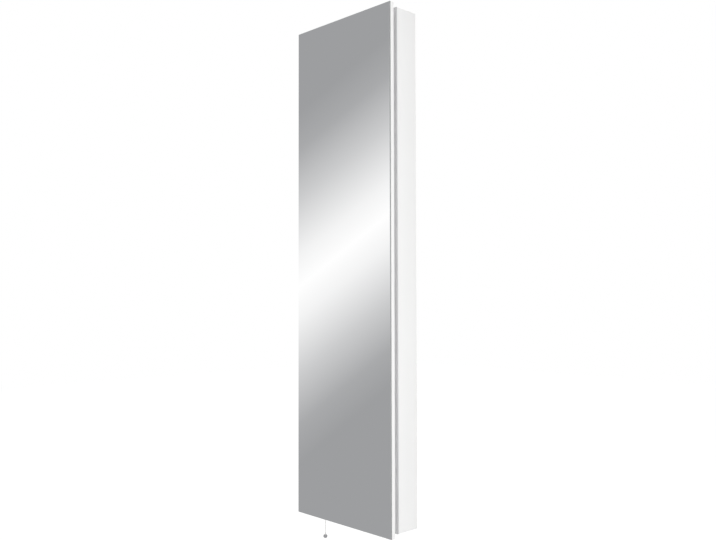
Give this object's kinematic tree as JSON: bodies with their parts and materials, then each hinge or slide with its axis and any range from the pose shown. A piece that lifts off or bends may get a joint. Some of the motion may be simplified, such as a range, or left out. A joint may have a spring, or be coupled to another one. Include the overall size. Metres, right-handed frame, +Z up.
{
  "type": "jewelry mirror cabinet",
  "caption": "Tall slim wall cabinet for jewelry, with a full-height mirror door on side hinges, lined storage inside and a light worked by a hanging pull cord.",
  "frame": {"origin": "centre of the wall face, midway between the four wall screw holes", "axes": "+Z up, +Y into the wall, so that the mirror door faces -Y; +X to the right as seen from the front"},
  "size_m": [0.324, 0.092, 1.2695],
  "materials": {
    "white_lacquer": "fibreboard under a smooth satin white lacquer",
    "white_board": "fibreboard under white melamine",
    "mirror": "silvered float glass with a ground edge",
    "satin_aluminium": "satin anodised",
    "hinge_steel": "nickel plated, satin",
    "zinc_steel": "bright zinc plate",
    "chrome": "polished chrome",
    "velvet": "charcoal velvet",
    "clear_acrylic": "clear polished acrylic",
    "grey_sheet": "light grey powder coat",
    "white_plastic": "fine moulded texture",
    "diffuser": "frosted",
    "circuit_board": "white solder mask",
    "rubber": "translucent grey",
    "magnet": "plated",
    "lead_plastic": "white sheath",
    "dowel_wood": "fluted beech, unfinished",
    "cord": "braided nylon cord, white"
  },
  "bodies": {
    "cabinet": {"back_lining": "velvet", "back_panel": "white_board", "back_panel_screws": "zinc_steel", "bottom_panel": "white_lacquer", "cable_gland": "rubber", "cable_trunking": "white_plastic", "catch_magnets": "magnet", "cord_bush": "white_plastic", "corner_dowels": "dowel_wood", "driver_box": "white_plastic", "earring_bars": "clear_acrylic", "earring_uprights": "white_board", "frame_and_cover_screws": "zinc_steel", "frame_bottom_rail": "satin_aluminium", "frame_left_stile": "satin_aluminium", "frame_right_stile": "satin_aluminium", "frame_top_rail": "satin_aluminium", "hinge_frame_leaves": "hinge_steel", "hinge_frame_screws": "hinge_steel", "hinge_pins": "hinge_steel", "lamp_board": "circuit_board", "lamp_diffuser": "diffuser", "lamp_end_caps": "white_plastic", "lamp_housing": "grey_sheet", "lamp_lead": "lead_plastic", "left_side_panel": "white_lacquer", "necklace_hooks": "chrome", "necklace_rail": "white_board", "return_spring": "zinc_steel", "right_side_panel": "white_lacquer", "rim_trims": "satin_aluminium", "ring_cushion": "velvet", "ring_tray": "velvet", "service_cover": "grey_sheet", "shelf_lower": "white_board", "shelf_middle": "white_board", "shelf_pins": "zinc_steel", "shelf_rails": "chrome", "shelf_upper": "white_board", "switch_housing": "white_plastic", "switch_leads": "lead_plastic", "switch_lid": "white_plastic", "terminal_block": "white_plastic", "top_panel": "white_lacquer", "wall_plates": "zinc_steel", "watch_bar": "velvet", "watch_bar_brackets": "white_board"},
    "door": {"door_panel": "white_lacquer", "mirror_glass": "mirror", "door_lining": "velvet", "door_hook_rail": "white_board", "door_hooks": "chrome", "door_trays": "clear_acrylic", "strike_plates": "zinc_steel", "door_bumpers": "rubber", "hinge_door_leaves": "hinge_steel", "hinge_door_screws": "hinge_steel"},
    "pull": {"pull_slider": "white_plastic", "cord_inner_run": "cord", "pull_cord": "cord", "pull_knob": "chrome"}
  },
  "joints": [
    {"name": "door_swing", "type": "hinge", "parent": "cabinet", "child": "door", "pos_m": [-0.1548, -0.0752, 0], "axis": [0, 0, -1], "range_deg": [0, 110]},
    {"name": "cord_pull", "type": "slide", "parent": "cabinet", "child": "pull", "axis": [0, 0, -1], "range_m": [0, 0.008], "stiffness_N_per_m": 500, "springref_m": -0.01, "deforming": ["return_spring"]}
  ]
}
